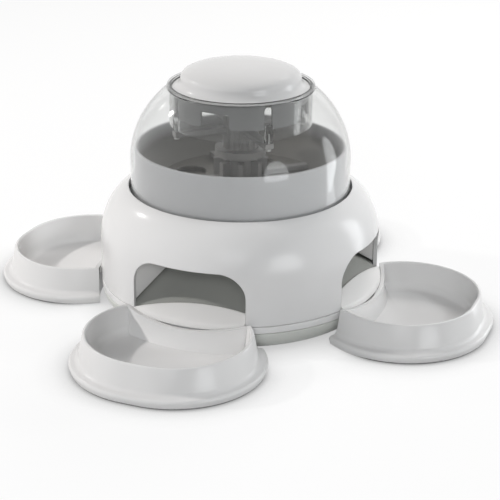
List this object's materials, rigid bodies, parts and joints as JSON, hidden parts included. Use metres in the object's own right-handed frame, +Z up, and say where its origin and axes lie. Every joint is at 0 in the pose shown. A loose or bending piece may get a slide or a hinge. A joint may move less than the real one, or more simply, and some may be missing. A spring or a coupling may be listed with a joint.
{
  "type": "dog puzzle feeder",
  "caption": "Round treat drum with a clear hopper dome, a press button on top that opens a rotary gate, sloped outlets all round and a loose bowl at each outlet.",
  "frame": {"origin": "on the floor, at the drum's axis", "axes": "+Z up, -Y towards the front bowl, +X towards the right bowl"},
  "size_m": [0.4084, 0.4084, 0.1923],
  "materials": {
    "white_plastic": "satin",
    "pale_plastic": "satin",
    "foot_plastic": "satin",
    "dark_plastic": "satin",
    "grey_plastic": "satin",
    "clear_plastic": "clear",
    "rubber": "matte",
    "steel": "plain",
    "bush": "plain"
  },
  "bodies": {
    "base": {"base_foot": "foot_plastic", "rubber_feet": "rubber", "base_screws": "steel", "lower_ring": "white_plastic", "drum_shell": "white_plastic", "seat_ring": "white_plastic", "chute_cone": "dark_plastic", "chute_dividers": "pale_plastic", "outlet_lip_front": "pale_plastic", "outlet_lip_right": "pale_plastic", "outlet_lip_back": "pale_plastic", "outlet_lip_left": "pale_plastic", "hopper_cup": "grey_plastic", "cup_screws": "steel", "spindle_bush": "bush", "thrust_washer": "pale_plastic"},
    "rotor": {"gate_disc": "grey_plastic", "rotor_spindle": "steel", "spindle_clip": "steel", "agitator": "pale_plastic"},
    "dome": {"dome_shell": "clear_plastic", "dome_seal": "rubber", "dome_collar": "clear_plastic", "guide_spider": "grey_plastic", "rod_bush": "bush", "spider_screws": "steel", "return_spring": "steel"},
    "button": {"button_cap": "white_plastic", "cap_skirt": "white_plastic", "plunger_rod": "pale_plastic", "cam_pin": "steel", "plunger_screw": "steel"},
    "bowl_front": {"bowl_front": "white_plastic", "bowl_pads_front": "rubber"},
    "bowl_right": {"bowl_right": "white_plastic", "bowl_pads_right": "rubber"},
    "bowl_back": {"bowl_back": "white_plastic", "bowl_pads_back": "rubber"},
    "bowl_left": {"bowl_left": "white_plastic", "bowl_pads_left": "rubber"}
  },
  "joints": [
    {"name": "dome_lift", "type": "slide", "parent": "base", "child": "dome", "axis": [0, 0, 1], "range_m": [0, 0.12]},
    {"name": "button_press", "type": "slide", "parent": "dome", "child": "button", "axis": [0, 0, -1], "range_m": [0, 0.01], "stiffness_N_per_m": 300, "springref_m": -0.01, "deforming": ["return_spring"]},
    {"name": "rotor_turn", "type": "hinge", "parent": "base", "child": "rotor", "pos_m": [0, 0, 0.1], "axis": [0, 0, 1], "range_deg": [0, 45]},
    {"name": "bowl_front_away", "type": "slide", "parent": "base", "child": "bowl_front", "axis": [0, -1, 0], "range_m": [0, 0.1]},
    {"name": "bowl_right_away", "type": "slide", "parent": "base", "child": "bowl_right", "axis": [1, 0, 0], "range_m": [0, 0.1]},
    {"name": "bowl_back_away", "type": "slide", "parent": "base", "child": "bowl_back", "axis": [0, 1, 0], "range_m": [0, 0.1]},
    {"name": "bowl_left_away", "type": "slide", "parent": "base", "child": "bowl_left", "axis": [-1, 0, 0], "range_m": [0, 0.1]}
  ],
  "couplings": [
    {"joint": "rotor_turn", "follows": "button_press", "rad_per_m": 78.5}
  ]
}
